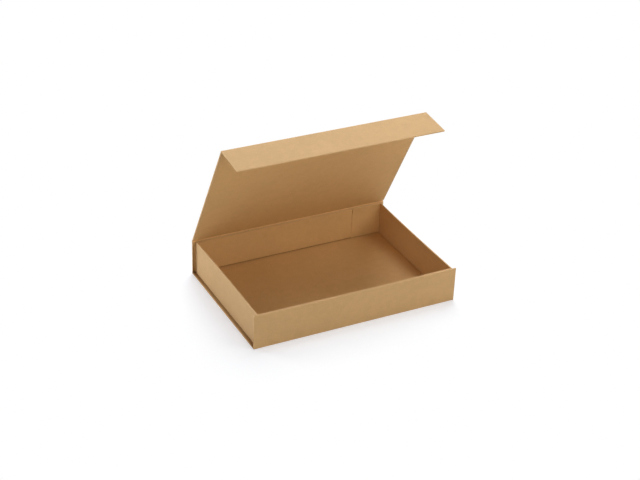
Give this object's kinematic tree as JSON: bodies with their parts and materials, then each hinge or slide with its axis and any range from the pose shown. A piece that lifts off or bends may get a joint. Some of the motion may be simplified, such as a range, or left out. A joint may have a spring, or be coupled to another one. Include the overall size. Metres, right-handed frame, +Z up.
{
  "type": "hinged-lid gift box",
  "caption": "Open shallow gift box of kraft-covered board: a tray on a book-style case whose spine, lid and closing flap fold shut over it and hold by hidden magnets.",
  "frame": {"origin": "centre of the base board's underside", "axes": "+X to the right along the front, +Y from the front panel to the spine, +Z up; the lid stands open at the rest pose"},
  "size_m": [0.33, 0.227, 0.2604],
  "materials": {
    "kraft_case": "matt brown kraft paper over board",
    "kraft_tray": "matt brown kraft paper over board",
    "magnet": "nickel-plated, satin",
    "strike_steel": "zinc-plated, dull"
  },
  "bodies": {
    "tray": {"base_panel": "kraft_case", "front_panel": "kraft_case", "tray_frame": "kraft_tray", "strike_plate_left": "strike_steel", "strike_plate_right": "strike_steel"},
    "spine": {"spine_panel": "kraft_case"},
    "lid": {"lid_panel": "kraft_case"},
    "flap": {"closing_flap": "kraft_case", "flap_magnet_left": "magnet", "flap_magnet_right": "magnet"}
  },
  "joints": [
    {"name": "spine_hinge", "type": "hinge", "parent": "tray", "child": "spine", "pos_m": [0, 0.1135, 0], "axis": [-1, 0, 0], "range_deg": [0, 90]},
    {"name": "lid_hinge", "type": "hinge", "parent": "spine", "child": "lid", "pos_m": [0, 0.1135, 0.0578], "axis": [-1, 0, 0], "range_deg": [-61.5, 28.5]},
    {"name": "flap_hinge", "type": "hinge", "parent": "lid", "child": "flap", "pos_m": [0, 0.00351, 0.26037], "axis": [-1, 0, 0], "range_deg": [-22.8, 67.2]}
  ]
}
